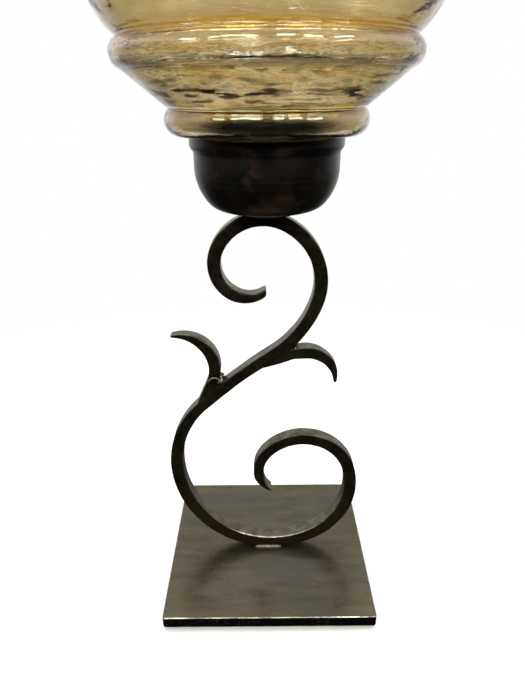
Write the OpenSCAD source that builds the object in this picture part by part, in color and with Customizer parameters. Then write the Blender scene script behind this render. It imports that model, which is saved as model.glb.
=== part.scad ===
// Hurricane candle holder: a double scroll of flat iron bar stands on a square plate and
// carries a spun cup, and a ringed glass shade lifts straight out of the cup.
// +Z is up, +Y is the back, and the foot pads stand on z = 0.

/* [Base plate] */
// Side of the square plate
plate_side = 140; // [130:1:160]
// Thickness of the plate
plate_thick = 8; // [6:0.5:12]
// Radius of the plate's upright corners
plate_corner = 2; // [1:0.5:6]

/* [Foot pads] */
// Diameter of a felt foot pad
pad_dia = 16; // [10:1:24]
// Thickness of a felt foot pad
pad_thick = 2; // [1:0.5:4]
// Distance from a pad's middle to the plate's sides
pad_inset = 15; // [13:1:25]

/* [Scroll bar] */
// Depth of the flat bar from front to back
bar_depth = 10; // [8:0.5:12]
// Height of the cup's seat above the plate
seat_height = 248; // [247:0.25:248.5]

/* [Leaves] */
// Depth of a leaf's tip from front to back
leaf_tip_depth = 6.5; // [4:0.5:8]
// Height that a weld's bead stands proud of the bar's faces
bead_height = 0.6; // [0.3:0.1:1]

/* [Base welds] */
// Leg of the fillet weld between the bar and the plate
base_weld_leg = 2.2; // [1.5:0.1:3]
// Length of the fillet weld
base_weld_length = 20; // [14:1:24]

/* [Cup] */
// Thickness of the cup's spun wall
cup_wall = 1.4; // [1:0.1:1.6]
// Thickness of the cup's floor
cup_floor = 2; // [1.5:0.25:2.5]
// Diameter of the disc under the cup
disc_dia = 34; // [28:1:36]
// Thickness of the disc under the cup
disc_thick = 1.4; // [1:0.1:2]

/* [Screw] */
// Thread diameter of the screw that holds the cup
screw_dia = 5; // [4:0.5:5]
// Length of the screw under its head
screw_length = 8; // [7:0.5:8.5]
// Diameter of the washer under the screw's head
washer_dia = 15; // [12:1:18]

/* [Glass shade] */
// Thickness of the glass wall
glass_wall = 3; // [2.5:0.25:3.5]
// Thickness of the glass floor
glass_floor = 4; // [3:0.5:5]
// Radius of the curve from the belly in to the throat
crown_radius = 130; // [120:5:150]
// Outward turn of the lip past the throat, in degrees
lip_turn = 40; // [20:1:50]

/* [Hidden] */
$fn = 128;

iron = "#2b2620";
bronze = "#6b6152";
weld_metal = "#55524b";
bright_steel = "#8f8f88";
felt = "#3a3a38";
amber = [0.72, 0.54, 0.29, 0.6];

// ---- Heights above the floor ----
plate_top = pad_thick + plate_thick;
seat_z = plate_top + seat_height;
cup_z = seat_z + disc_thick;
pad_offset = plate_side / 2 - pad_inset;

// ---- Scroll: middle line as [x, height above the plate, heading] and tangent arcs as
// ---- [radius, sweep], where a negative sweep turns clockwise
scroll_start = [-3.15, 198.8, -149.7];
scroll_arcs = [
    [18.1, -61.6], // snub tip of the upper curl
    [22.1, -81.5], // left side of the upper loop
    [30.2, -92.8], // shoulder and top of the upper loop
    [39.8, -83.5], // right side of the upper loop
    [68.2, -37.5], // turn into the diagonal
    [364, 9.5],    // diagonal through the middle
    [63.2, 48.2],  // waist under the left leaf
    [74, 45.3],    // left side of the lower loop
    [62.6, 73.7],  // bottom of the lower loop
    [49.7, 77.5],  // right side of the lower loop
    [33.4, 123],   // inner curl
    [23, 50.2],    // inner curl's left side
    [16, 50]       // taper to the lower tip
];
// Width of the bar where each arc starts, and at the last one's end
scroll_widths = [4.6, 7.6, 8.3, 8.3, 8.2, 7.4, 7.5, 8.9, 9.1, 9, 8.6, 7.6, 7, 1.4];

// ---- Leaves: each lies between an outer and an inner circle, as [centre, radius], with a
// ---- rounded tip, and its root hands over to a scarf that lies along the bar
left_outer = [[-54.7, 148.6], 24.2];
left_inner = [[-60.8, 147.4], 22.4];
left_tip = [[-61.15, 171.1], 1.1];
left_root = 136;
left_taper = [-39.5, -62];
left_scarf = [
    [-38.4, 146], [-38.8, 142], [-40.4, 138], [-47, 123], [-40, 123],
    [-32.5, 133], [-33.2, 138], [-34, 146]
];
right_outer = [[25.6, 142.6], 20.4];
right_inner = [[23.8, 135.7], 19.7];
right_tip = [[44.42, 137.95], 1.04];
right_root = 22;
right_taper = [24, 46.1];
right_scarf = [
    [-7, 148], [-2, 149.2], [4, 150.9], [8, 152], [12, 153.4], [15, 154.7],
    [18, 155.4], [24, 155.5], [24, 162.8], [18, 162.4], [8, 162]
];
// Rounds of weld in the notches above the leaves' roots, as [centre, front and back radius]
left_notch = [[-31.2, 139.2], 1.8, 3.8];
right_notch = [[18, 162.4], 1.6, 2.2];
// Outline of the weld's bead across the faces of the left leaf's root
left_bead = [
    [-40.3, 138.2], [-39.4, 140.6], [-37.4, 142.3], [-35, 143.2], [-33, 142.9], [-30.6, 141],
    [-31, 138.8], [-32.6, 140.4], [-34.4, 141.4], [-36.8, 140.9], [-38.7, 138]
];

// ---- Cup: outside of its wall from the flat foot up, as [radius, height, heading] and
// ---- [radius, sweep] elements, where a sweep of 0 is a straight [length, 0]
cup_start = [17, 0, 0];
cup_path = [
    [39, 15],      // nearly flat underside
    [14, 35],      // turn of the bowl
    [30, 40],      // side of the bowl
    [7, 0],        // upright side
    [3.3, -47.3],  // collar opens
    [3.3, 47.3],   // and turns upright again
    [3.9, 0]       // rim
];
shaft_hole = screw_dia + 0.5;
tapped_hole = screw_dia + 0.2;
tapped_depth = 4.6;
washer_thick = 1;
head_dia = 1.9 * screw_dia;
head_height = 0.6 * screw_dia;
recess_depth = 0.55 * head_height;
recess_width = 0.22 * screw_dia;

// ---- Glass: heights above the cup's rim ----
neck_radius = 39.1;
neck_depth = 27;
neck_corner = 8;
shade_gap = 0.5;
lower_ring = [[47.9, 8.9], 8.3];
lower_ring_end = 44;
upper_ring = [[73.8, 40.8], 8.2];
upper_ring_span = [-68, 57];
bowl = [[48.7, 82.9], 45];
bowl_start = -49.5;
flare_radius = 40;
crown_turn = 28;

// ---- Tangent paths. A state is [x, y, heading] and an element is [radius, sweep]. ----
function direction(a) = [cos(a), sin(a)];
function turn_sign(arc) = arc[1] < 0 ? -1 : 1;
function arc_centre(s, arc) = [s[0], s[1]] + arc[0] * turn_sign(arc) * direction(s[2] + 90);
function arc_angle(s, arc) = s[2] - 90 * turn_sign(arc);
function path_end(s, arc) =
    let (
        p = arc[1] == 0
            ? [s[0], s[1]] + arc[0] * direction(s[2])
            : arc_centre(s, arc) + arc[0] * direction(arc_angle(s, arc) + arc[1])
    )
    [p[0], p[1], s[2] + arc[1]];
function path_states(s, path, i = 0) =
    i == len(path) ? [s] : concat([s], path_states(path_end(s, path[i]), path, i + 1));

// Points along a circle's arc
function arc_points(centre, radius, from, to, step = 4) =
    let (n = max(2, ceil(abs(to - from) / step)))
    [for (i = [0:n]) centre + radius * direction(from + (to - from) * i / n)];

// Points along one element, moved to its left by inset
function element_points(s, arc, inset) =
    arc[1] == 0
        ? [for (t = [0, arc[0]]) [s[0], s[1]] + t * direction(s[2]) + inset * direction(s[2] + 90)]
        : arc_points(
            arc_centre(s, arc), arc[0] - turn_sign(arc) * inset,
            arc_angle(s, arc), arc_angle(s, arc) + arc[1]
        );
function path_points(s, path, inset = 0) =
    let (states = path_states(s, path))
    [for (i = [0:len(path) - 1]) each element_points(states[i], path[i], inset)];
function reversed(v) = [for (i = [len(v) - 1:-1:0]) v[i]];

// Points along one side (1 for left, -1 for right) of a path whose width runs evenly
// from widths[i] to widths[i + 1] along its element i
function band_side(s, path, widths, side, i = 0) =
    i == len(path) ? [] :
    let (
        arc = path[i],
        centre = arc_centre(s, arc),
        angle = arc_angle(s, arc),
        n = max(2, ceil(abs(arc[1]) / 3))
    )
    concat(
        [for (k = [0:n - 1])
            let (
                t = k / n,
                half = (widths[i] + (widths[i + 1] - widths[i]) * t) / 2
            )
            centre + (arc[0] - side * turn_sign(arc) * half) * direction(angle + t * arc[1])],
        band_side(path_end(s, arc), path, widths, side, i + 1)
    );

// A round given as [centre, radius]
module round_at(r) {
    translate(r[0]) circle(r[1], $fn = 360);
}

module scroll_outline() {
    end = path_states(scroll_start, scroll_arcs)[len(scroll_arcs)];
    start_half = scroll_widths[0] / 2;
    end_half = scroll_widths[len(scroll_arcs)] / 2;
    difference() {
        polygon(concat(
            arc_points([scroll_start[0], scroll_start[1]], start_half,
                scroll_start[2] + 260, scroll_start[2] + 100, 20),
            band_side(scroll_start, scroll_arcs, scroll_widths, 1),
            arc_points([end[0], end[1]], end_half, end[2] + 90, end[2] - 90, 30),
            reversed(band_side(scroll_start, scroll_arcs, scroll_widths, -1))
        ));
        translate([-plate_side / 2, seat_height]) square([plate_side, bar_depth]);
        translate([-plate_side / 2, -bar_depth]) square([plate_side, bar_depth]);
    }
}

module left_leaf_outline() {
    difference() {
        union() {
            intersection() {
                difference() {
                    round_at(left_outer);
                    round_at(left_inner);
                }
                translate([left_tip[0][0], left_root]) square(2 * left_outer[1]);
            }
            round_at(left_tip);
            polygon(left_scarf);
        }
        scroll_outline();
    }
}

module right_leaf_outline() {
    difference() {
        union() {
            intersection() {
                difference() {
                    round_at(right_outer);
                    round_at(right_inner);
                }
                translate([right_root, right_tip[0][1]]) square(2 * right_outer[1]);
            }
            round_at(right_tip);
            polygon(right_scarf);
        }
        scroll_outline();
    }
}

// Stands a drawing of heights above the plate in the X-Z plane, with depth along Y
module upright(depth) {
    translate([0, 0, plate_top]) rotate([90, 0, 0]) linear_extrude(depth, center = true) children();
}

module base_plate() {
    color(bronze) translate([0, 0, pad_thick]) linear_extrude(plate_thick) {
        square([plate_side, plate_side - 2 * plate_corner], center = true);
        square([plate_side - 2 * plate_corner, plate_side], center = true);
        for (x = [-1, 1], y = [-1, 1]) {
            translate([x, y] * (plate_side / 2 - plate_corner)) circle(plate_corner);
        }
    }
}

module foot_pad(x_side, y_side) {
    color(felt) translate([x_side * pad_offset, y_side * pad_offset, 0])
        cylinder(d = pad_dia, h = pad_thick);
}

module foot_pad_front_left() {
    foot_pad(-1, -1);
}

module foot_pad_front_right() {
    foot_pad(1, -1);
}

module foot_pad_back_left() {
    foot_pad(-1, 1);
}

module foot_pad_back_right() {
    foot_pad(1, 1);
}

module scroll_bar() {
    color(iron) difference() {
        upright(bar_depth) scroll_outline();
        translate([0, 0, seat_z - tapped_depth]) cylinder(d = tapped_hole, h = tapped_depth + 1);
    }
}

// Thins a leaf from the bar's depth where the taper starts to leaf_tip_depth at its end
module thinned(taper) {
    root = bar_depth / 2;
    tip = leaf_tip_depth / 2;
    beyond = taper[0] - 2 * (taper[1] - taper[0]);
    intersection() {
        children();
        linear_extrude(seat_z) polygon([
            [beyond, root], [taper[0], root], [taper[1], tip],
            [taper[1], -tip], [taper[0], -root], [beyond, -root]
        ]);
    }
}

module left_leaf() {
    color(iron) thinned(left_taper) upright(bar_depth) left_leaf_outline();
}

module right_leaf() {
    color(iron) thinned(right_taper) upright(bar_depth) right_leaf_outline();
}

// A cone of weld metal that fills a notch from front to back
module notch_weld(notch) {
    translate([notch[0][0], 0, plate_top + notch[0][1]]) rotate([90, 0, 0])
        cylinder(r1 = notch[2], r2 = notch[1], h = bar_depth + 2 * bead_height, center = true);
}

module left_leaf_weld() {
    color(weld_metal) difference() {
        union() {
            upright(bar_depth + 2 * bead_height) polygon(left_bead);
            notch_weld(left_notch);
        }
        upright(bar_depth) scroll_outline();
        upright(bar_depth) left_leaf_outline();
    }
}

module right_leaf_weld() {
    color(weld_metal) difference() {
        notch_weld(right_notch);
        upright(bar_depth) scroll_outline();
        upright(bar_depth) right_leaf_outline();
    }
}

// A convex fillet along the foot of the bar, on its front (-1) or back (1) face
module base_weld(side) {
    color(weld_metal) intersection() {
        translate([-base_weld_length / 2, side * bar_depth / 2, plate_top])
            rotate([0, 90, 0]) cylinder(r = base_weld_leg, h = base_weld_length, $fn = 48);
        translate([-base_weld_length / 2, side > 0 ? bar_depth / 2 : -bar_depth, plate_top])
            cube([base_weld_length, bar_depth / 2, base_weld_leg]);
    }
}

module base_weld_front() {
    base_weld(-1);
}

module base_weld_back() {
    base_weld(1);
}

module cup_support_disc() {
    color(bright_steel) translate([0, 0, seat_z]) difference() {
        cylinder(d = disc_dia, h = disc_thick);
        translate([0, 0, -1]) cylinder(d = shaft_hole, h = disc_thick + 2);
    }
}

module cup() {
    color(iron) translate([0, 0, cup_z]) difference() {
        rotate_extrude() {
            polygon(concat(
                path_points(cup_start, cup_path),
                reversed(path_points(cup_start, cup_path, cup_wall))
            ));
            square([cup_start[0], cup_floor]);
            translate([cup_start[0] - 1, cup_wall / 2]) square([8, cup_floor - cup_wall / 2]);
        }
        translate([0, 0, -1]) cylinder(d = shaft_hole, h = cup_floor + 2);
    }
}

module cup_washer() {
    color(bright_steel) translate([0, 0, cup_z + cup_floor]) difference() {
        cylinder(d = washer_dia, h = washer_thick);
        translate([0, 0, -1]) cylinder(d = shaft_hole, h = washer_thick + 2);
    }
}

module cup_screw() {
    under_head = cup_z + cup_floor + washer_thick;
    color(bright_steel) translate([0, 0, under_head]) difference() {
        union() {
            translate([0, 0, -screw_length]) cylinder(d = screw_dia, h = screw_length);
            cylinder(d = head_dia, h = head_height / 2);
            translate([0, 0, head_height / 2])
                cylinder(d1 = head_dia, d2 = 0.7 * head_dia, h = head_height / 2);
        }
        for (turn = [0, 90]) {
            translate([0, 0, head_height - recess_depth / 2]) rotate(turn)
                cube([head_dia / 2, recess_width, recess_depth + 0.01], center = true);
        }
    }
}

// The shade's outside, or its inside when inset is the wall's thickness
function shade_side(inset) =
    let (
        crown_centre = [bowl[0][0] + bowl[1] - crown_radius, bowl[0][1]],
        flare_centre = crown_centre + (crown_radius + flare_radius) * direction(crown_turn)
    )
    concat(
        arc_points(lower_ring[0], lower_ring[1] - inset, -90, lower_ring_end, 8),
        arc_points(upper_ring[0], upper_ring[1] - inset, upper_ring_span[0], upper_ring_span[1], 8),
        arc_points(bowl[0], bowl[1] - inset, bowl_start, 0, 5),
        arc_points(crown_centre, crown_radius - inset, 0, crown_turn, 3),
        arc_points(flare_centre, flare_radius + inset, crown_turn + 180, 180 - lip_turn, 6)
    );

module glass_shade() {
    rim = path_states(cup_start, cup_path)[len(cup_path)];
    outside = shade_side(0);
    inside = shade_side(glass_wall);
    lip_out = outside[len(outside) - 1];
    lip_in = inside[len(inside) - 1];
    bottom = -neck_depth;
    floor_top = bottom + glass_floor;
    neck_inside = neck_radius - glass_wall;
    inner_corner = neck_corner - glass_wall;
    color(amber) translate([0, 0, cup_z + rim[1]]) rotate_extrude() {
        polygon(concat(
            [[0, bottom]],
            arc_points([neck_radius - neck_corner, bottom + neck_corner], neck_corner, -90, 0, 10),
            [[neck_radius, shade_gap]],
            outside,
            arc_points((lip_out + lip_in) / 2, glass_wall / 2, -lip_turn, 180 - lip_turn, 20),
            reversed(inside),
            arc_points([neck_radius, inside[0][1] - glass_wall], glass_wall, 90, 180, 15),
            arc_points([neck_inside - inner_corner, floor_top + inner_corner], inner_corner, 0, -90, 15),
            [[0, floor_top]]
        ));
    }
}

base_plate();
foot_pad_front_left();
foot_pad_front_right();
foot_pad_back_left();
foot_pad_back_right();
scroll_bar();
left_leaf();
right_leaf();
left_leaf_weld();
right_leaf_weld();
base_weld_front();
base_weld_back();
cup_support_disc();
cup();
cup_washer();
cup_screw();
glass_shade();
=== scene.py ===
"""Looks for a hurricane candle holder: forged scroll on a square plate, spun cup, amber shade."""

from math import ceil, cos, exp, pi, radians, sin

import bmesh
import bpy
from mathutils import Matrix, Vector, noise


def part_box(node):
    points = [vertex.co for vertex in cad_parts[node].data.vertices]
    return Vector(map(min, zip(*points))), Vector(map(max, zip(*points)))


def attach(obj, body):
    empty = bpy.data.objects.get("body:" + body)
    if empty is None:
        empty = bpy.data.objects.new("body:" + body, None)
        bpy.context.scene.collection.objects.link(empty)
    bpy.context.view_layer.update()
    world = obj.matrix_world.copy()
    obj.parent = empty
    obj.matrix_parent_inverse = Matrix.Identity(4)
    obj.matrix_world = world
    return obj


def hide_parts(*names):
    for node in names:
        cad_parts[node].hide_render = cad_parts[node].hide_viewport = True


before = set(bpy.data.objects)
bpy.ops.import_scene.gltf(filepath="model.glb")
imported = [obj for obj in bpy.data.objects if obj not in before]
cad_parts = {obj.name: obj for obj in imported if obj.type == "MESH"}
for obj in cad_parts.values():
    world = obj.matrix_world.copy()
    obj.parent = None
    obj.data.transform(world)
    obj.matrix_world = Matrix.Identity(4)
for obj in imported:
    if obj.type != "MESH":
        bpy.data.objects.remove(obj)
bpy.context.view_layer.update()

MM = 0.001  # shapes are drawn in millimetres and made in metres


def corner(node, end, axis):
    """One coordinate of a CAD node's box in millimetres: end 0 is the lowest corner, 1 the highest."""
    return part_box(node)[end][axis] / MM


PLATE_HALF = corner("base_plate", 1, 0)
PLATE_BOTTOM = corner("base_plate", 0, 2)
PLATE_TOP = corner("base_plate", 1, 2)
BAR_HALF = corner("scroll_bar", 1, 1)
SEAT = corner("cup_support_disc", 0, 2)
CUP_FOOT = corner("cup", 0, 2)
RIM = corner("cup", 1, 2)


# ---------------------------------------------------------------- curves

def ray(angle, length=1.0):
    """A plane vector at an angle in degrees."""
    return length * cos(radians(angle)), length * sin(radians(angle))


def follow(start, elements, spacing):
    """Stations (x, y, heading, element, share) along tangent elements.

    An element is an arc (radius, sweep in degrees) or a straight (length, 0).
    """
    x, y, heading = start
    stations = []
    for i, (size, sweep) in enumerate(elements):
        length = size * radians(abs(sweep)) if sweep else size
        side = -1 if sweep < 0 else 1
        hub = [a + b for a, b in zip((x, y), ray(heading + 90, size * side))]
        steps = max(2, ceil(length / spacing))
        for k in range(steps + 1):
            share = k / steps
            if sweep:
                out = ray(heading - 90 * side + sweep * share, size)
                point = hub[0] + out[0], hub[1] + out[1]
            else:
                along = ray(heading, size * share)
                point = x + along[0], y + along[1]
            if k < steps or i == len(elements) - 1:
                stations.append((*point, heading + sweep * share, i, share))
        x, y = point
        heading += sweep
    return stations


def arc(centre, radius, start, end, step=3.0):
    """Points along a circle's arc."""
    steps = max(2, ceil(abs(end - start) / step))
    angles = [start + (end - start) * k / steps for k in range(steps + 1)]
    return [(centre[0] + ray(a, radius)[0], centre[1] + ray(a, radius)[1]) for a in angles]


def resampled(points, count):
    """The same line with evenly spaced points."""
    lengths = [0.0]
    for a, b in zip(points, points[1:]):
        lengths.append(lengths[-1] + (Vector(b) - Vector(a)).length)
    found, j = [], 0
    for k in range(count):
        want = lengths[-1] * k / (count - 1)
        while j < len(points) - 2 and lengths[j + 1] < want:
            j += 1
        share = (want - lengths[j]) / max(lengths[j + 1] - lengths[j], 1e-9)
        found.append(tuple(Vector(points[j]).lerp(Vector(points[j + 1]), min(1.0, share))))
    return found


def softened(points, rounds):
    """A line with its corners eased and its ends kept."""
    for _ in range(rounds):
        middle = [
            tuple((Vector(a) + 2 * Vector(b) + Vector(c)) / 4)
            for a, b, c in zip(points, points[1:], points[2:])
        ]
        points = [points[0], *middle, points[-1]]
    return points


def grain(point, size, seed=0.0):
    """Smooth noise from -1 to 1 with features of about the size given, in millimetres."""
    return noise.noise(Vector((point[0] / size + seed, point[1] / size, point[2] / size - seed)))


# ---------------------------------------------------------------- meshes

def piece(name, verts, faces, body, nodes, slot, look, marks=None):
    """A closed mesh, in millimetres, that rides on a CAD body and stands for CAD nodes.

    marks are named values, one for each vertex, that its material reads.
    """
    mesh = bpy.data.meshes.new(name)
    mesh.from_pydata([tuple(c * MM for c in v) for v in verts], [], faces)
    for key, values in (marks or {}).items():
        layer = mesh.attributes.new(key, "FLOAT", "POINT")
        layer.data.foreach_set("value", values)
    work = bmesh.new()
    work.from_mesh(mesh)
    bmesh.ops.recalc_face_normals(work, faces=work.faces)
    work.to_mesh(mesh)
    work.free()
    mesh.shade_smooth()
    mesh.materials.append(look)
    obj = bpy.data.objects.new(name, mesh)
    bpy.context.scene.collection.objects.link(obj)
    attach(obj, body)
    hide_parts(*nodes)


def loft(rings, first=0):
    """Vertices and faces of closed rings of the same length, joined and capped at both ends.

    first is the number of the first vertex.
    """
    verts = [v for ring in rings for v in ring]
    count = len(rings[0])
    faces = [tuple(first + k for k in range(count))]
    for i in range(len(rings) - 1):
        a, b = first + i * count, first + (i + 1) * count
        for k in range(count):
            n = (k + 1) % count
            faces.append((a + k, a + n, b + n, b + k))
    last = first + (len(rings) - 1) * count
    faces.append(tuple(last + k for k in reversed(range(count))))
    return verts, faces


def section(half_width, half_depth, radius, corner_steps=4, width_steps=4, depth_steps=6):
    """A rounded rectangle as (across, depth, edge) points, where edge is 1 on the corners' curves."""
    radius = max(0.02, min(radius, 0.9 * half_width, 0.9 * half_depth))
    w, d = half_width - radius, half_depth - radius
    found = []
    hubs = [(w, d, 0), (-w, d, 90), (-w, -d, 180), (w, -d, 270)]
    for i, (a, b, start) in enumerate(hubs):
        for k in range(corner_steps + 1):
            out = ray(start + 90 * k / corner_steps, radius)
            edge = 1.0 if 0 < k < corner_steps else 0.35
            found.append((a + out[0], b + out[1], edge))
        nxt = hubs[(i + 1) % 4]
        steps = width_steps if i % 2 == 0 else depth_steps
        end, begin = ray(start + 90, radius), found[-1]
        for k in range(1, steps):
            share = k / steps
            found.append((
                begin[0] + (nxt[0] + end[0] - begin[0]) * share,
                begin[1] + (nxt[1] + end[1] - begin[1]) * share,
                0.0,
            ))
    return found


def calm(x, z):
    """0 at the leaves' joints, 1 away from them: no dents or wear where two pieces lie flush."""
    near = min(Vector((x - a, z - PLATE_TOP - b)).length / reach for a, b, reach in JOINTS)
    return min(1.0, max(0.0, (near - 0.6) / 0.4))


def swept(stations, radius, ridges=0.0, worn=None):
    """Rings and edge marks along stations (x, z, across vector, half width, half depth).

    radius rounds the edges, ridges is the depth of two forged grooves on the outer side, and
    worn(station, across, depth) says how much lighter a point on an edge is made: wear, and a painted
    highlight where a caller adds one.
    """
    rings, marks = [], []
    for i, (x, z, across, half_width, half_depth) in enumerate(stations):
        ring = []
        free = calm(x, z)
        small = min(1.0, half_width / 3)  # shallower dents where the bar is thin
        for a, b, edge in section(half_width, half_depth, radius * (0.35 + 0.65 * free)):
            dent = 0.05 * (1 + grain((x + a, b, z), 7.0)) + 0.03 * (1 + grain((x + a, b, z), 2.2, 5.0))
            if edge == 1.0:
                dent += 0.12 * max(0.0, grain((x + a, b, z), 3.0, 9.0))
            dent *= free * small
            if ridges and a > 0.6 * half_width:
                dent += free * small * ridges * (0.5 - 0.5 * cos(b / half_depth * 3 * pi))
            marks.append(edge * free * (worn(i, a, b) if worn else 0.3))
            a, b = a * (1 - dent / half_width), b * (1 - dent / half_depth)
            height = min(SEAT, max(PLATE_TOP, z + a * across[1]))
            ring.append((x + a * across[0], b, height))
        rings.append(ring)
    return rings, marks


def lathe(profile, segments, push=None, closed=True):
    """Vertices and faces of a profile of (radius, height) turned about Z; closed joins its two ends."""
    verts, faces, rows = [], [], []
    for j, (r, z) in enumerate(profile):
        if r < 1e-6:
            rows.append([len(verts)])
            verts.append((0.0, 0.0, z))
            continue
        row = []
        for k in range(segments):
            angle = 2 * pi * k / segments
            radius, height = push(r, z, angle, j) if push else (r, z)
            row.append(len(verts))
            verts.append((radius * cos(angle), radius * sin(angle), height))
        rows.append(row)
    pairs = list(zip(rows, rows[1:])) + ([(rows[-1], rows[0])] if closed else [])
    for a, b in pairs:
        for k in range(segments):
            n = (k + 1) % segments
            if len(a) == 1:
                faces.append((a[0], b[n], b[k]))
            elif len(b) == 1:
                faces.append((a[k], a[n], b[0]))
            else:
                faces.append((a[k], a[n], b[n], b[k]))
    return verts, faces


# ---------------------------------------------------------------- materials

class Look:
    """A node material built around one Principled shader, in frame coordinates."""

    def __init__(self, name, **values):
        self.material = bpy.data.materials.new(name)
        self.material.use_nodes = True
        self.tree = self.material.node_tree
        self.shader = self.tree.nodes["Principled BSDF"]
        self.place = self.add("ShaderNodeTexCoord").outputs["Object"]
        for key, value in values.items():
            self.shader.inputs[key.replace("_", " ")].default_value = value

    def add(self, kind, **settings):
        node = self.tree.nodes.new(kind)
        for key, value in settings.items():
            setattr(node, key, value)
        return node

    def feed(self, socket, value):
        if isinstance(value, bpy.types.NodeSocket):
            self.tree.links.new(value, socket)
        else:
            socket.default_value = value

    def noise(self, size, stretch=(1, 1, 1), detail=4.0, roughness=0.55, shift=0.0):
        """Noise with features of about size millimetres, drawn out along an axis by its stretch."""
        mapping = self.add("ShaderNodeMapping")
        self.feed(mapping.inputs["Vector"], self.place)
        mapping.inputs["Scale"].default_value = [1 / s for s in stretch]
        mapping.inputs["Location"].default_value = (shift, shift * 0.7, -shift)
        texture = self.add("ShaderNodeTexNoise")
        self.feed(texture.inputs["Vector"], mapping.outputs[0])
        texture.inputs["Scale"].default_value = 1 / (size * MM)
        texture.inputs["Detail"].default_value = detail
        texture.inputs["Roughness"].default_value = roughness
        return texture.outputs[0]

    def cells(self, size, shift=0.0):
        """Distance to the nearest of scattered points, about size millimetres apart."""
        mapping = self.add("ShaderNodeMapping")
        self.feed(mapping.inputs["Vector"], self.place)
        mapping.inputs["Location"].default_value = (shift, shift, shift)
        texture = self.add("ShaderNodeTexVoronoi")
        self.feed(texture.inputs["Vector"], mapping.outputs[0])
        texture.inputs["Scale"].default_value = 1 / (size * MM)
        return texture.outputs["Distance"]

    def mark(self, name):
        """A value that piece() stored on the mesh."""
        return self.add("ShaderNodeAttribute", attribute_name=name).outputs["Fac"]

    def ramp(self, value, low, high, start=0.0, end=1.0):
        """Value from low to high, as a share from start to end, held beyond them."""
        node = self.add("ShaderNodeMapRange", interpolation_type="SMOOTHSTEP")
        for key, number in zip(("From Min", "From Max", "To Min", "To Max"), (low, high, start, end)):
            node.inputs[key].default_value = number
        self.feed(node.inputs["Value"], value)
        return node.outputs["Result"]

    def maths(self, kind, *values):
        node = self.add("ShaderNodeMath", operation=kind)
        for socket, value in zip(node.inputs, values):
            self.feed(socket, value)
        return node.outputs[0]

    def times(self, a, b):
        return self.maths("MULTIPLY", a, b)

    def away(self, value, middle=0.0):
        """How far a value is from a middle one."""
        return self.maths("ABSOLUTE", self.maths("SUBTRACT", value, middle))

    def mix(self, share, a, b):
        node = self.add("ShaderNodeMix", data_type="RGBA")
        self.feed(node.inputs[0], share)
        self.feed(node.inputs[6], a)
        self.feed(node.inputs[7], b)
        return node.outputs[2]

    def axis(self, index):
        """One coordinate in millimetres."""
        split = self.add("ShaderNodeSeparateXYZ")
        self.feed(split.inputs[0], self.place)
        return self.times(split.outputs[index], 1 / MM)

    def bump(self, height, depth):
        """Relief of depth millimetres."""
        node = self.add("ShaderNodeBump")
        node.inputs["Strength"].default_value = 1.0
        node.inputs["Distance"].default_value = depth * MM
        self.feed(node.inputs["Height"], height)
        if self.shader.inputs["Normal"].is_linked:
            self.feed(node.inputs["Normal"], self.shader.inputs["Normal"].links[0].from_socket)
        self.feed(self.shader.inputs["Normal"], node.outputs[0])

    def colour(self, value):
        self.feed(self.shader.inputs["Base Color"], value)

    def rough(self, value):
        self.feed(self.shader.inputs["Roughness"], value)


def rgb(red, green, blue):
    """An opaque colour."""
    return (red, green, blue, 1.0)


def iron_look():
    """Satin brown-black lacquer over hammered iron, worn lighter on the edges, with painted shade on the
    bar's front and back faces and a painted highlight along the lower loop's inner front edge.
    """
    look = Look("dark_iron", Metallic=0.86, Coat_Weight=0.1, Coat_Roughness=0.3)
    cloud = look.noise(9.0, detail=5.0)
    speck = look.noise(1.3, detail=3.0, shift=3.0)
    brown = look.ramp(look.noise(22.0, detail=3.0, shift=7.0), 0.5, 0.72)
    base = look.mix(look.ramp(cloud, 0.35, 0.7), rgb(0.055, 0.048, 0.03), rgb(0.15, 0.135, 0.095))
    base = look.mix(look.times(brown, 0.6), base, rgb(0.09, 0.054, 0.022))
    base = look.mix(look.ramp(speck, 0.6, 0.74, 0.0, 0.5), base, rgb(0.26, 0.22, 0.16))
    # painted shade: the bar's front and back faces are made darker than its sides, most of all low down
    facing = look.add("ShaderNodeSeparateXYZ")
    look.feed(facing.inputs[0], look.add("ShaderNodeNewGeometry").outputs["Normal"])
    flat = look.ramp(look.away(facing.outputs[1]), 0.5, 0.9)
    painted_shade = look.times(flat, look.ramp(look.axis(2), 15.0, 120.0, 0.93, 0.55))
    base = look.mix(painted_shade, base, rgb(0.018, 0.014, 0.005))
    # edge marks lighten the colour: wear on every edge, plus a painted highlight on the lower loop's
    # inner front edge
    worn = look.times(look.ramp(look.mark("edge"), 0.15, 1.0), look.ramp(cloud, 0.4, 0.6, 0.5, 1.0))
    look.colour(look.mix(worn, base, rgb(0.7, 0.64, 0.5)))
    look.rough(look.ramp(look.noise(3.0, shift=1.0), 0.3, 0.7, 0.26, 0.4))
    look.bump(look.noise(2.4, detail=6.0, shift=2.0), 0.16)
    look.bump(look.noise(0.6, detail=3.0, shift=4.0), 0.05)
    return look.material


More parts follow.
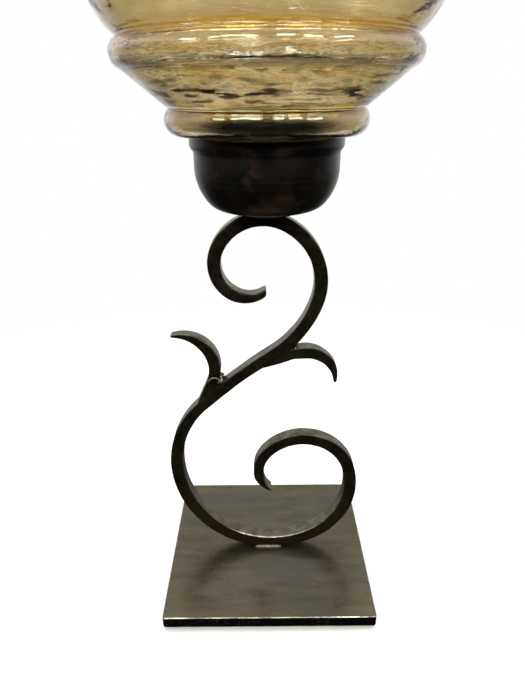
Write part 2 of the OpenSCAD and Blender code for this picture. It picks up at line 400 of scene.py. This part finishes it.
def plate_look():
    """Dark bronze brushed from side to side, with specks, worn bright along its edges, and its sides
    made near-black as painted shade.
    """
    look = Look("bronze_plate", Metallic=0.9, Coat_Weight=0.25, Coat_Roughness=0.16)
    brush = look.noise(0.7, stretch=(16, 1, 1), detail=5.0, roughness=0.75)
    bands = look.noise(8.0, stretch=(3.5, 1, 1), detail=6.0, roughness=0.65, shift=2.0)
    cloud = look.noise(45.0, detail=3.0, shift=5.0)
    base = look.mix(look.ramp(bands, 0.3, 0.7), rgb(0.076, 0.062, 0.035), rgb(0.115, 0.095, 0.058))
    base = look.mix(look.ramp(brush, 0.35, 0.75, 0.0, 0.4), base, rgb(0.14, 0.118, 0.08))
    base = look.mix(look.ramp(cloud, 0.42, 0.68, 0.0, 0.55), base, rgb(0.07, 0.07, 0.064))
    for size, cut, shift in ((3.1, 0.075, 0.0), (5.3, 0.062, 2.3)):
        dust = look.ramp(look.cells(size, shift=shift), cut, 0.6 * cut)
        sparse = look.ramp(look.noise(11.0, detail=2.0, shift=9.0 + size), 0.47, 0.56, 0.0, 0.8)
        base = look.mix(look.times(dust, sparse), base, rgb(0.5, 0.47, 0.4))
    scratch = look.noise(1.0, stretch=(3, 1, 1), detail=5.0, roughness=0.7, shift=11.0)
    knocked = look.ramp(look.noise(24.0, detail=2.0, shift=1.0), 0.5, 0.58)
    chips = look.times(look.ramp(scratch, 0.58, 0.62), knocked)
    # painted shade: the plate's sides, where the side mark is high, are made near-black; light chips
    # show only on those sides
    front = look.ramp(look.mark("side"), 0.5, 0.9)
    base = look.mix(front, base, rgb(0.02, 0.02, 0.021))
    base = look.mix(look.times(chips, front), base, rgb(0.5, 0.47, 0.4))
    broken = look.noise(3.5, stretch=(4, 4, 1), detail=6.0, roughness=0.65, shift=4.0)
    worn = look.times(look.ramp(broken, 0.4, 0.56, 0.08, 1.0), look.ramp(look.mark("edge"), 0.4, 0.9))
    look.colour(look.mix(worn, base, rgb(0.72, 0.66, 0.54)))
    look.rough(look.ramp(bands, 0.3, 0.7, 0.25, 0.35))
    look.bump(brush, 0.02)
    look.bump(look.noise(5.0, stretch=(5, 1, 1), detail=4.0, shift=6.0), 0.05)
    return look.material


def weld_look():
    """Rippled weld metal under the same lacquer, worn bright on its crests, which are also lightened as
    painted glints.
    """
    look = Look("weld", Metallic=0.85)
    mottled = look.noise(1.2, detail=4.0)
    base = look.mix(look.ramp(mottled, 0.35, 0.65), rgb(0.08, 0.06, 0.042), rgb(0.2, 0.17, 0.135))
    look.colour(look.mix(look.ramp(look.mark("edge"), 0.35, 0.95), base, rgb(0.42, 0.38, 0.32)))
    look.rough(look.ramp(look.noise(0.8, shift=3.0), 0.3, 0.7, 0.25, 0.45))
    look.bump(look.noise(0.7, detail=4.0, shift=1.0), 0.12)
    return look.material


def cup_look():
    """Satin brown-black finish with the fine rings of spinning."""
    look = Look("spun_cup", Metallic=0.35, Specular_IOR_Level=0.3, Coat_Weight=0.45, Coat_Roughness=0.24)
    rings = look.noise(0.7, stretch=(400, 400, 1), detail=3.0, roughness=0.6)
    cloud = look.noise(16.0, detail=4.0, shift=2.0)
    base = look.mix(look.ramp(cloud, 0.35, 0.7), rgb(0.006, 0.005, 0.004), rgb(0.014, 0.011, 0.008))
    # painted highlight: reddish-brown patches scattered by noise
    painted_reddish_highlight = look.ramp(look.noise(12.0, shift=6.4), 0.5, 0.68, 0.0, 0.6)
    base = look.mix(painted_reddish_highlight, base, rgb(0.07, 0.04, 0.026))
    look.colour(look.mix(look.ramp(rings, 0.55, 0.8, 0.0, 0.3), base, rgb(0.13, 0.12, 0.11)))
    look.rough(look.ramp(cloud, 0.3, 0.7, 0.3, 0.4))
    look.bump(rings, 0.015)
    look.bump(look.noise(1.0, detail=3.0, shift=8.0), 0.015)
    return look.material


def steel_look():
    """Bright turned steel."""
    look = Look("steel", Metallic=1.0)
    rings = look.noise(0.35, stretch=(300, 300, 1), detail=3.0)
    look.colour(look.mix(look.ramp(rings, 0.35, 0.7), rgb(0.5, 0.5, 0.47), rgb(0.66, 0.67, 0.63)))
    look.rough(look.ramp(look.noise(2.0), 0.3, 0.7, 0.24, 0.38))
    look.bump(rings, 0.01)
    return look.material


def felt_look():
    """Dense charcoal felt with a fuzzy nap."""
    look = Look("felt", Sheen_Weight=0.6, Sheen_Roughness=0.5)
    fibre = look.noise(0.5, detail=6.0, roughness=0.7)
    look.colour(look.mix(look.ramp(fibre, 0.35, 0.65), rgb(0.018, 0.018, 0.017), rgb(0.06, 0.06, 0.057)))
    look.rough(look.ramp(fibre, 0.3, 0.7, 0.85, 1.0))
    look.bump(fibre, 0.15)
    return look.material


def glass_look():
    """Amber glass under a thin lustre, deeper in the grooves, with dark working marks in the cone, and
    painted shade under the upper ring and at the foot of the lower ring.
    """
    look = Look(
        "amber_glass", Roughness=0.0, Transmission_Weight=1.0, IOR=1.5,
        Coat_Weight=0.6, Coat_IOR=1.6, Coat_Roughness=0.0,
        Thin_Film_Thickness=380.0, Thin_Film_IOR=1.38,
    )
    height = look.maths("SUBTRACT", look.axis(2), RIM)

    def band(middle, reach, full):
        """1 within full millimetres of a height, 0 beyond reach."""
        return look.ramp(look.away(height, middle), reach, full)

    cloud = look.noise(26.0, stretch=(1, 1, 0.5), detail=4.0)
    base = look.mix(look.ramp(cloud, 0.35, 0.65), rgb(0.615, 0.515, 0.31), rgb(0.7, 0.615, 0.43))
    grooves = ((14.0, 4.5, rgb(0.5, 0.31, 0.04)), (48.0, 6.0, rgb(0.58, 0.38, 0.08)))
    for middle, reach, orange in grooves:
        wavy = look.ramp(look.noise(14.0, stretch=(2, 2, 0.4), shift=middle), 0.3, 0.6, 0.5, 1.0)
        base = look.mix(look.times(band(middle, reach, 0.8), wavy), base, orange)
    # dark marks in the cone, a line of darker strokes low in it, and a soft band of painted shade under
    # the upper ring
    dash = look.noise(3.2, stretch=(-4.0, 4.0, 0.5), detail=3.0, roughness=0.5, shift=1.0)
    soft = look.noise(9.0, stretch=(5.0, 5.0, 0.35), detail=3.0, shift=6.0)
    patch = look.ramp(look.noise(24.0, stretch=(-1, 1, 1), detail=2.0, shift=9.0), 0.42, 0.58, 0.5, 1.0)
    cone = look.times(band(26.0, 12.0, 7.0), patch)
    mark = look.times(look.ramp(dash, 0.56, 0.58, 0.0, 0.9), cone)
    base = look.mix(mark, base, rgb(0.13, 0.1, 0.05))
    stroke = look.times(look.ramp(dash, 0.5, 0.52), band(22.0, 2.0, 1.2))
    base = look.mix(look.times(stroke, patch), base, rgb(0.012, 0.01, 0.006))
    # painted shade: a soft dark band under the upper ring
    shade = look.times(look.ramp(soft, 0.4, 0.48, 0.25, 0.9), band(34.5, 2.8, 1.2))
    base = look.mix(shade, base, rgb(0.2, 0.17, 0.11))
    # painted shade: the foot of the lower ring is darkened where the dark cup would show through it,
    # except at its left and right ends
    wavy = look.times(look.noise(20.0, stretch=(1, 1, 0.3), shift=5.0), 5.0)
    foot = look.ramp(look.maths("ADD", height, wavy), 11.0, 14.0, 0.96, 0.0)
    clear = look.ramp(look.away(look.axis(0)), 20.0, 44.0, 1.0, 0.12)
    look.colour(look.mix(look.times(foot, clear), base, rgb(0.035, 0.034, 0.024)))
    look.bump(look.noise(6.0, stretch=(2.2, 2.2, 0.7), detail=3.0, shift=3.0), 0.35)
    return look.material


IRON, PLATE, WELD = iron_look(), plate_look(), weld_look()
CUP, STEEL, FELT, GLASS = cup_look(), steel_look(), felt_look(), glass_look()


# ---------------------------------------------------------------- plate and pads

PLATE_CORNER = 2.0  # radius of the corners, seen from above
PLATE_EDGE = 0.5  # radius of the edges


def plate_ring(inset, height, corner_steps=6, side_steps=48):
    """The plate's outline, moved in from its sides, as a ring at a height."""
    radius = max(0.05, PLATE_CORNER - inset)
    hub = PLATE_HALF - PLATE_CORNER
    if inset > PLATE_CORNER:
        hub = PLATE_HALF - inset - radius
    hubs = [(hub, hub), (-hub, hub), (-hub, -hub), (hub, -hub)]
    ring = []
    for i, (x, y) in enumerate(hubs):
        for k in range(corner_steps + 1):
            out = ray(90 * i + 90 * k / corner_steps, radius)
            ring.append((x + out[0], y + out[1], height))
        next_x, next_y = hubs[(i + 1) % 4]
        start = ring[-1]
        out = ray(90 * (i + 1), radius)
        end = (next_x + out[0], next_y + out[1], height)
        for k in range(1, side_steps):
            ring.append(tuple(a + (b - a) * k / side_steps for a, b in zip(start, end)))
    return ring


def make_plate():
    """A plate with rounded, slightly nicked edges, of rings from under its middle to the top's."""
    low, high = PLATE_BOTTOM + PLATE_EDGE, PLATE_TOP - PLATE_EDGE
    # rows of (inset, height, edge mark, side mark)
    rows = [(8.0, PLATE_BOTTOM, 0, 0), (2.0, PLATE_BOTTOM, 0, 0)]
    for k in range(5):
        out = ray(-90 + 90 * k / 4, PLATE_EDGE)
        rows.append((PLATE_EDGE - out[0], low + out[1], 0.6 if 0 < k < 4 else 0.2, k / 4))
    for share in (0.25, 0.5, 0.75):
        rows.append((0.0, low + (high - low) * share, 0, 1))
    for k in range(6):
        out = ray(90 * k / 5, PLATE_EDGE)
        rows.append((PLATE_EDGE - out[0], high + out[1], 1 if k > 0 else 0.3, 1 if k < 2 else 0))
    rows += [(0.8, PLATE_TOP, 0.2, 0), (2.0, PLATE_TOP, 0, 0), (8.0, PLATE_TOP, 0, 0)]
    rings, edge, side = [], [], []
    for inset, height, edge_mark, side_mark in rows:
        ring = plate_ring(inset, height)
        nicked = []
        for x, y, z in ring:
            nick = 0.0
            if edge_mark > 0.3:
                nick = 0.12 * max(0.0, grain((x, y, z), 5.0))
                nick += 0.1 * max(0.0, grain((x, y, z), 1.6, 3.0))
            pull = 1 - nick / PLATE_HALF
            nicked.append((x * pull, y * pull, z))
        rings.append(nicked)
        # the front edge is the most worn one
        edge += [edge_mark * (1.0 if y < 1 - PLATE_HALF else 0.3) for x, y, z in ring]
        side += [side_mark] * len(ring)
    marks = {"edge": edge, "side": side}
    piece("plate", *loft(rings), "stand", ["base_plate"], "bronze_plate", PLATE, marks)


def make_pads():
    """Felt discs with a pressed, slightly frayed rim."""
    for place in ("front_left", "front_right", "back_left", "back_right"):
        node = f"foot_pad_{place}"
        x = (corner(node, 0, 0) + corner(node, 1, 0)) / 2
        y = (corner(node, 0, 1) + corner(node, 1, 1)) / 2
        radius = (corner(node, 1, 0) - corner(node, 0, 0)) / 2
        top = corner(node, 1, 2)
        profile = [
            (0, 0), (0.5 * radius, 0), (radius - 0.5, 0), (radius - 0.1, 0.3), (radius, top / 2),
            (radius - 0.1, top - 0.3), (radius - 0.3, top), (0.5 * radius, top), (0, top),
        ]

        def fray(r, z, angle, j):
            worn = 0.25 * (0.5 + 0.5 * grain((r * cos(angle), r * sin(angle), z), 1.1, x))
            return (r - worn if r > 0.8 * radius else r), z

        verts, faces = lathe(profile, 72, fray, closed=False)
        verts = [(vx + x, vy + y, vz) for vx, vy, vz in verts]
        piece(f"felt_{place}", verts, faces, "stand", [node], "felt", FELT)


# ---------------------------------------------------------------- scroll and leaves

# Points of the scroll and the leaves are (x, height above the plate).
SCROLL_START = (-3.15, 198.8, -149.7)  # the upper curl's tip and its heading
SCROLL_ARCS = [  # (radius, sweep) from the upper curl's tip down to the inner curl's end
    (18.1, -61.6), (22.1, -81.5), (30.2, -92.8), (39.8, -83.5), (68.2, -37.5), (364, 9.5), (63.2, 48.2),
    (74, 45.3), (62.6, 73.7), (49.7, 77.5), (33.4, 123), (23, 50.2), (16, 50),
]
SCROLL_WIDTHS = [4.6, 7.6, 8.3, 8.3, 8.2, 7.4, 7.5, 8.9, 9.1, 9, 8.6, 7.6, 7, 1.4]  # at the arcs' ends
SCROLL_ROUND, LEAF_ROUND = 0.5, 0.8  # radius of the edges
JOINTS = [(-38, 134, 17), (8, 156, 26)]  # middle of each leaf's joint, and its reach
SET_BACK = 0.02  # how far the leaves' faces lie behind the bar's


def end_cap(x, z, heading, half, ahead, lean=0.0, reach=1.0):
    """Stations that round off a bar's end, going ahead (1) or back (-1).

    lean moves the end's point to one side, and reach is its length against the half width.
    """
    across = ray(heading + 90)
    flat = 1 - abs(lean)
    found = []
    for turn in (25, 48, 66, 80):
        along = ray(heading, ahead * reach * half * sin(radians(turn)))
        narrow = half * cos(radians(turn))
        move = [along[k] + across[k] * lean * (half - narrow) for k in (0, 1)]
        depth = BAR_HALF - half * (1 - cos(radians(turn))) * 0.4 * flat
        found.append((x + move[0], z + move[1], across, narrow, depth))
    return found if ahead > 0 else found[::-1]


def make_scroll():
    """One bent bar whose width changes along it."""
    line = [(x, y + PLATE_TOP, *rest) for x, y, *rest in follow(SCROLL_START, SCROLL_ARCS, 1.0)]
    stations = []
    for x, z, heading, i, share in line:
        half = (SCROLL_WIDTHS[i] + (SCROLL_WIDTHS[i + 1] - SCROLL_WIDTHS[i]) * share) / 2
        stations.append((x, z, ray(heading + 90), half, BAR_HALF))
    start = end_cap(*line[0][:3], SCROLL_WIDTHS[0] / 2, -1, lean=-0.8, reach=1.4)
    end = end_cap(*line[-1][:3], SCROLL_WIDTHS[-1] / 2, 1)
    stations = start + stations + end

    def wear_and_painted_highlight(i, a, b):
        """Light wear along every edge, and a painted highlight along the inner front edge at the bottom
        of the lower loop.
        """
        x, z = stations[i][0], stations[i][1] - PLATE_TOP
        low = max(0.0, 1 - (z / 16) ** 2) * max(0.0, 1 - (x / 48) ** 2)
        return 0.25 + (1.1 * low if a > 0 and b < 0 else 0.0)

    rings, marks = swept(stations, SCROLL_ROUND, worn=wear_and_painted_highlight)
    piece("scroll", *loft(rings), "stand", ["scroll_bar"], "dark_iron", IRON, {"edge": marks})


def make_leaf(name, node, inner, outer, taper, tip_half, ridges):
    """A leaf between two edge lines that thins from the bar's depth to tip_half.

    taper gives the two x between which it thins, and ridges is the depth of its grooves.
    """
    inner, outer = (softened(resampled(side, 70), 2) for side in (inner, outer))
    stations = []
    for (ax, az), (bx, bz) in zip(inner, outer):
        across = Vector((bx - ax, bz - az))
        half = across.length / 2
        across.normalize()
        x, z = (ax + bx) / 2, (az + bz) / 2
        share = min(1.0, max(0.0, (x - taper[0]) / (taper[1] - taper[0])))
        depth = BAR_HALF - SET_BACK + (tip_half - BAR_HALF) * share
        stations.append((x, z + PLATE_TOP, tuple(across), half, depth))
    x, z, across, half, depth = stations[-1]
    back = stations[-2]
    ahead = Vector((x - back[0], z - back[1])).normalized()
    for turn in (20, 40, 58, 72):
        reach = half * sin(radians(turn))
        narrow = half * cos(radians(turn))
        tip = depth - 1.2 * (half - narrow)
        stations.append((x + ahead.x * reach, z + ahead.y * reach, across, narrow, tip))
    rings, marks = swept(stations, LEAF_ROUND, ridges)
    piece(name, *loft(rings), "stand", [node], "dark_iron", IRON, {"edge": marks})


def make_leaves():
    """Each leaf by its inner and outer edge, from its root on the bar to its tip."""
    make_leaf(
        "leaf_left", "left_leaf",
        [(-47, 123), (-43.7, 130.5), (-40.4, 138), (-38.8, 142)] + arc((-60.8, 147.4), 22.4, 0, 90.5),
        [(-42.5, 123.5), (-37.5, 129), (-33.6, 134)] + arc((-54.7, 148.6), 24.2, -25, 105),
        (-39.5, -62), 3.25, 0.0,
    )
    make_leaf(
        "leaf_right", "right_leaf",
        [(-7, 148), (-2, 149.2), (4, 150.9), (8, 152), (12, 153.4), (15, 154.7), (18, 155.4)]
        + arc((23.8, 135.7), 19.7, 90, 6.8),
        [(-6, 150.5), (3, 156.5), (10, 161), (17.5, 162.2)] + arc((25.6, 142.6), 20.4, 100, -12.8),
        (24, 46.1), 3.25, 0.16,
    )


# ---------------------------------------------------------------- welds

def bead(path, radius, wave, seed, grow=0.0, shine=1.0):
    """Rings of a lumpy bead along 3-D points, and marks that are high on its crests, for wear and
    painted glints.

    wave is the length of a ripple, grow widens the bead towards its far end, and shine scales
    the marks.
    """
    rings, marks = [], []
    length = 0.0
    for i, point in enumerate(path):
        p = Vector(point)
        ahead = (Vector(path[min(i + 1, len(path) - 1)]) - Vector(path[max(i - 1, 0)])).normalized()
        if i:
            length += (p - Vector(path[i - 1])).length
        side = ahead.cross(Vector((0, 1, 0)))
        side.normalize()
        up = side.cross(ahead)
        share = i / (len(path) - 1)
        swell = (1 - abs(2 * share - 1) ** 6) ** 0.5 if 0 < share < 1 else 0.05
        ripple = abs(sin(pi * length / wave))
        size = radius * (1 + grow * share) * swell * (0.8 + 0.2 * ripple + 0.14 * grain(p, 1.5, seed))
        ring = []
        for k in range(14):
            out = ray(360 * k / 14)
            lump = 1 + 0.12 * grain(p + Vector((out[0], 0, out[1])), 0.8, seed)
            ring.append(tuple(p + side * out[0] * size * lump + up * out[1] * size * lump))
            marks.append(shine * (0.35 + 0.65 * ripple) if swell > 0.3 else 0.0)
        rings.append(ring)
    return rings, marks


def bead_piece(name, node, beads):
    """Several beads as one piece."""
    verts, faces, marks = [], [], []
    for rings, crest in beads:
        more_verts, more_faces = loft(rings, len(verts))
        verts += more_verts
        faces += more_faces
        marks += crest
    piece(name, verts, faces, "stand", [node], "weld", WELD, {"edge": marks})


def notch_line(x, z, sway, rate, rise=0.0):
    """Points from the front to the back along the notch where a leaf leaves the bar."""
    depth, steps = 2 * (BAR_HALF + 0.3), 24
    return [
        (x + sway * sin(k * rate), depth * (k / steps - 0.5), z + PLATE_TOP + rise * k)
        for k in range(steps + 1)
    ]


def make_welds():
    """Fills in the leaves' notches, a seam beside the left leaf, and fillets along the bar's foot."""
    seam = [(-39.4, 138.6), (-38.2, 140.6), (-36.4, 142), (-34.4, 142.3), (-32.6, 141.3), (-31, 139.6)]
    seam = softened(resampled(seam, 44), 3)
    beads = []
    for side in (-1, 1):
        path = [(x, side * (BAR_HALF - SET_BACK), z + PLATE_TOP) for x, z in seam]
        beads.append(bead(path, 0.5, 1.5, 3.0 + side))
    beads.append(bead(notch_line(-31.2, 139.0, 0.25, 1.9, 0.02), 1.55, 2.2, 8.0, grow=1.15))
    bead_piece("weld_left_leaf", "left_leaf_weld", beads)
    right = bead(notch_line(18, 162.3, 0.2, 2.3), 1.4, 2.1, 12.0, grow=0.35, shine=0.5)
    bead_piece("weld_right_leaf", "right_leaf_weld", [right])
    for side, place in ((-1, "front"), (1, "back")):
        node = f"base_weld_{place}"
        half, steps = corner(node, 1, 0) - 0.2, 80
        y, z = side * (BAR_HALF + 0.15), PLATE_TOP + 0.25
        path = [(-half + 2 * half * k / steps, y, z) for k in range(steps + 1)]
        bead_piece(f"weld_base_{place}", node, [bead(path, 1.75, 0.8, side * 5.0, shine=0.75)])


# ---------------------------------------------------------------- cup and its support

SCREW_HOLE = 2.75  # radius


def rounded(points, radius, steps=3):
    """A closed (radius, height) outline with its corners rounded."""
    found = []
    count = len(points)
    for i, b in enumerate(points):
        a, b, c = Vector(points[i - 1]), Vector(b), Vector(points[(i + 1) % count])
        cut = min(radius, (a - b).length / 2.2, (c - b).length / 2.2)
        p, q = b + (a - b).normalized() * cut, b + (c - b).normalized() * cut
        for k in range(steps + 1):
            t = k / steps
            found.append(tuple(p * (1 - t) ** 2 + b * 2 * t * (1 - t) + q * t * t))
    return found


def make_cup():
    """A spun cup with a stepped collar and a rolled rim, open at the screw's hole."""
    wall, floor, foot = 1.4, 2.0, 17
    # the side from the foot up: belly, straight wall, step and collar
    path = [(39, 15), (14, 35), (30, 40), (7, 0), (3.3, -47.3), (3.3, 47.3), (3.9, 0)]
    line = follow((foot, CUP_FOOT, 0), path, 0.8)
    outside = [(x, y) for x, y, *_ in line]
    inside = [(x + ray(h + 90, wall)[0], y + ray(h + 90, wall)[1]) for x, y, h, *_ in line]
    rim_out, rim_in = outside[-1], inside[-1]
    lip = arc(((rim_out[0] + rim_in[0]) / 2, rim_out[1] - wall / 2), wall / 2, 0, 180, 20)
    outside = [p for p in outside if p[1] < RIM - wall / 2]
    inside = [p for p in inside if CUP_FOOT + floor < p[1] < RIM - wall / 2]
    profile = (
        [(SCREW_HOLE, CUP_FOOT), (SCREW_HOLE + 3, CUP_FOOT), (foot - 5, CUP_FOOT)]
        + outside + lip + inside[::-1]
        + [(r, CUP_FOOT + floor) for r in (foot - 3, SCREW_HOLE + 3, SCREW_HOLE)]
    )
    verts, faces = lathe(profile, 256)
    piece("spun_cup", verts, faces, "stand", ["cup"], "spun_cup", CUP)


def make_disc():
    """The thin disc between the bar and the cup."""
    radius = corner("cup_support_disc", 1, 0)
    outline = [(SCREW_HOLE, SEAT), (radius, SEAT), (radius, CUP_FOOT), (SCREW_HOLE, CUP_FOOT)]
    profile = rounded(outline, 0.35)
    verts, faces = lathe(profile, 160)
    piece("support_disc", verts, faces, "stand", ["cup_support_disc"], "steel", STEEL)


# ---------------------------------------------------------------- shade

def make_shade():
    """The shade from its neck, which goes down into the cup, up to its flared lip."""
    wall, floor = 3.0, 4.0
    neck, depth, neck_corner, gap = 39.1, 27.0, 8.0, 0.5
    # (radius, height above the cup's rim) of an arc's hub, and the arc's radius
    lower, upper, bowl = ((47.9, 8.9), 8.3), ((73.8, 40.8), 8.2), ((48.7, 82.9), 45)
    cone_from, cone_to = 44, -68  # where the cone leaves the lower ring and meets the upper one
    crown, flare, turn, lip = 130, 40, 28, 40  # radii above the bowl, their sweep, and the lip's lean
    crown_hub = bowl[0][0] + bowl[1] - crown, bowl[0][1]
    out = ray(turn, crown + flare)
    flare_hub = crown_hub[0] + out[0], crown_hub[1] + out[1]

    def side(inset):
        """The shade's side, moved in by inset, from the lower ring up to the lip."""
        low_ring = arc(lower[0], lower[1] - inset, -90, cone_from, 5)
        high_ring = arc(upper[0], upper[1] - inset, cone_to, 57, 5)
        start, end = Vector(low_ring[-1]), Vector(high_ring[0])
        cone = [tuple(start.lerp(end, k / 24)) for k in range(1, 24)]
        return (
            low_ring + cone + high_ring
            + arc(bowl[0], bowl[1] - inset, -49.5, 0, 1.5)
            + arc(crown_hub, crown - inset, 0, turn, 0.8)[1:]
            + arc(flare_hub, flare + inset, turn + 180, 180 - lip, 2.5)[1:]
        )

    outside, inside = side(0), side(wall)
    lip_hub = [(a + b) / 2 for a, b in zip(outside[-1], inside[-1])]
    inner = neck_corner - wall
    shoulder = arc((neck, inside[0][1] - wall), wall, 90, 180, 12)
    hollow = arc((neck - wall - inner, floor - depth + inner), inner, 0, -90, 12)
    profile = (
        [(0, -depth), (neck * 0.5, -depth)]
        + arc((neck - neck_corner, neck_corner - depth), neck_corner, -90, 0, 10)
        + [(neck, 0.5 * (gap - depth)), (neck, gap)] + outside
        + arc(lip_hub, wall / 2, -lip, 180 - lip, 20)[1:-1] + inside[::-1]
        + shoulder[1:] + hollow + [(neck * 0.4, floor - depth), (0, floor - depth)]
    )
    first_inside = profile.index(inside[-1])
    profile = [(r, h + RIM) for r, h in profile]

    def worked(r, z, angle, j):
        """Dents of hand working: drawn out round the cone, rounder in the bowl, none in the neck."""
        height = z - RIM
        if height < 2:
            return r, z
        p = (r * cos(angle), r * sin(angle), z * 3.2)
        cone = exp(-(((height - 32) / 13) ** 2))  # 1 in the middle of the cone
        body = min(1.0, max(0.0, (height - 52) / 10))  # 1 above the upper ring
        dent = 0.1 * (1 + grain(p, 16.0)) + cone * 0.3 * (1 + grain(p, 13.0, 4.0))
        p = (r * cos(angle), r * sin(angle), z * 1.2)
        dent += body * (0.4 * (1 + grain(p, 11.0, 7.0)) + 0.2 * (1 + grain(p, 4.5, 2.0)))
        return (r + 0.6 * dent if j >= first_inside else r - dent), z

    verts, faces = lathe(profile, 288, worked, closed=False)
    piece("shade", verts, faces, "shade", ["glass_shade"], "amber_glass", GLASS)


make_plate()
make_pads()
make_scroll()
make_leaves()
make_welds()
make_disc()
make_cup()
make_shade()
for name in ("cup_washer", "cup_screw"):
    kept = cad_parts[name]
    kept.data.materials.clear()
    kept.data.materials.append(STEEL)


# ---------------------------------------------------------------- stage, light and camera

def make_floor():
    """A pale floor that fades into the backdrop."""
    bpy.ops.mesh.primitive_circle_add(vertices=96, radius=1.6, fill_type="NGON", location=(0, 0, 0))
    floor = bpy.context.object
    floor.name = "floor"
    look = Look("floor", Roughness=0.8)
    look.colour(rgb(0.93, 0.93, 0.93))
    fade = look.add("ShaderNodeVectorMath", operation="LENGTH")
    look.feed(fade.inputs[0], look.place)
    clear = look.add("ShaderNodeBsdfTransparent")
    blend = look.add("ShaderNodeMixShader")
    look.feed(blend.inputs[0], look.ramp(fade.outputs["Value"], 0.22, 0.6))
    look.feed(blend.inputs[1], look.shader.outputs[0])
    look.feed(blend.inputs[2], clear.outputs[0])
    look.feed(look.tree.nodes["Material Output"].inputs["Surface"], blend.outputs[0])
    floor.data.materials.append(look.material)
    floor.visible_glossy = False
    floor.visible_diffuse = False


def softbox(name, place, aim, size, power, tint=(1, 1, 1)):
    """A rectangular light that the camera doesn't see."""
    data = bpy.data.lights.new(name, "AREA")
    data.shape = "RECTANGLE"
    data.size, data.size_y = size
    data.energy = power
    data.color = tint
    lamp = bpy.data.objects.new(name, data)
    lamp.location = place
    lamp.rotation_euler = (Vector(aim) - Vector(place)).to_track_quat("-Z", "Y").to_euler()
    bpy.context.scene.collection.objects.link(lamp)
    lamp.visible_camera = False


def make_lights():
    """One large softbox above with small ones round it, and a row up in front for the glass's rings."""
    softbox("overhead", (0.0, 0.35, 1.2), (0, 0, 0.15), (1.2, 0.7), 5.0)
    for i, x in enumerate((-0.62, -0.38, -0.2, 0.07, 0.2, 0.3, 0.55)):
        softbox(f"ceiling_{i}", (x, -0.05 + 0.5 * abs(x), 1.2), (0, 0, 0.35), (0.1, 0.16), 1.3)
    row = ((-3.7, 1.0), (-2.0, 0.5), (-0.9, 1.3), (0.6, 0.5), (1.6, 0.9), (3.6, 1.2))
    power, warm = 24, (1.0, 0.95, 0.86)  # watts for each metre of width
    for i, (x, width) in enumerate(row):
        softbox(f"front_{i}", (x, -2.6, 2.0), (0, 0, 0.3), (width, 0.55), power * width, warm)


def make_world():
    """White to the eye and through the glass, and a graded studio for light and reflections.

    The studio is bright above and behind, and dim low in front.
    """
    world = bpy.data.worlds.new("studio")
    bpy.context.scene.world = world
    world.use_nodes = True
    tree = world.node_tree
    tree.nodes.clear()
    add, join = tree.nodes.new, tree.links.new

    split = add("ShaderNodeSeparateXYZ")
    join(add("ShaderNodeTexCoord").outputs["Generated"], split.inputs[0])
    lean = add("ShaderNodeMath")
    lean.operation = "MULTIPLY_ADD"
    lean.inputs[1].default_value = 1.6  # how much more height counts than depth
    join(split.outputs["Z"], lean.inputs[0])
    join(split.outputs["Y"], lean.inputs[2])
    grade = add("ShaderNodeMapRange")
    grade.interpolation_type = "SMOOTHSTEP"
    for key, number in (("From Min", -0.32), ("From Max", 1.0), ("To Min", 0.015), ("To Max", 0.88)):
        grade.inputs[key].default_value = number
    join(lean.outputs[0], grade.inputs["Value"])
    studio = add("ShaderNodeBackground")
    studio.inputs["Color"].default_value = rgb(0.97, 1.0, 1.0)
    join(grade.outputs[0], studio.inputs["Strength"])

    white = add("ShaderNodeBackground")
    white.inputs["Color"].default_value = rgb(1, 1, 1)
    path = add("ShaderNodeLightPath")
    seen = add("ShaderNodeMath")
    seen.operation = "MAXIMUM"
    join(path.outputs["Is Camera Ray"], seen.inputs[0])
    join(path.outputs["Is Transmission Ray"], seen.inputs[1])
    blend = add("ShaderNodeMixShader")
    join(seen.outputs[0], blend.inputs[0])
    join(studio.outputs[0], blend.inputs[1])
    join(white.outputs[0], blend.inputs[2])
    join(blend.outputs[0], add("ShaderNodeOutputWorld").inputs["Surface"])


def make_camera():
    """Eye a little above the cup's rim, looking down at the plate, with the faint tilt of a hand."""
    look_down, tilt = 24.08, -0.42
    data = bpy.data.cameras.new("camera")
    data.lens = 29.7
    data.sensor_width = 36.0
    data.clip_start, data.clip_end = 0.01, 20.0
    camera = bpy.data.objects.new("camera", data)
    camera.location = (-0.0033, -0.342, 0.3226)
    down = Matrix.Rotation(radians(90 - look_down), 3, "X")
    camera.rotation_euler = (down @ Matrix.Rotation(radians(tilt), 3, "Z")).to_euler()
    bpy.context.scene.collection.objects.link(camera)
    bpy.context.scene.camera = camera


make_floor()
make_world()
make_lights()
make_camera()
bpy.context.scene.view_settings.view_transform = "Standard"
